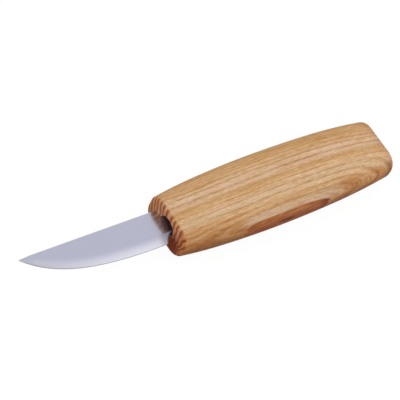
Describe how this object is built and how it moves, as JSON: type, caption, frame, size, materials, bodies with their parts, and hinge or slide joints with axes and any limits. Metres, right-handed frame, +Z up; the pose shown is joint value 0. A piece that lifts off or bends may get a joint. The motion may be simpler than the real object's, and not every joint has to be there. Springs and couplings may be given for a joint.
{
  "type": "wood carving knife",
  "caption": "Short carving blade with a straight back, curved belly and full-length ground bevel, its stick tang glued into a barrel-shaped ash handle with flat sides.",
  "frame": {"origin": "middle of the knife's bounding box, on the surface it lies on", "axes": "+X from the tip of the blade to the butt of the handle, +Y from the cutting edge to the back of the blade, +Z up, square to the flat of the blade"},
  "size_m": [0.1806, 0.0322, 0.018],
  "materials": {
    "steel": "ground and satin polished carbon steel",
    "ash": "sanded ash with a thin coat of oil",
    "glue": "set epoxy"
  },
  "bodies": {
    "root": {"blade": "steel", "handle": "ash", "tang_glue": "glue"}
  },
  "joints": []
}
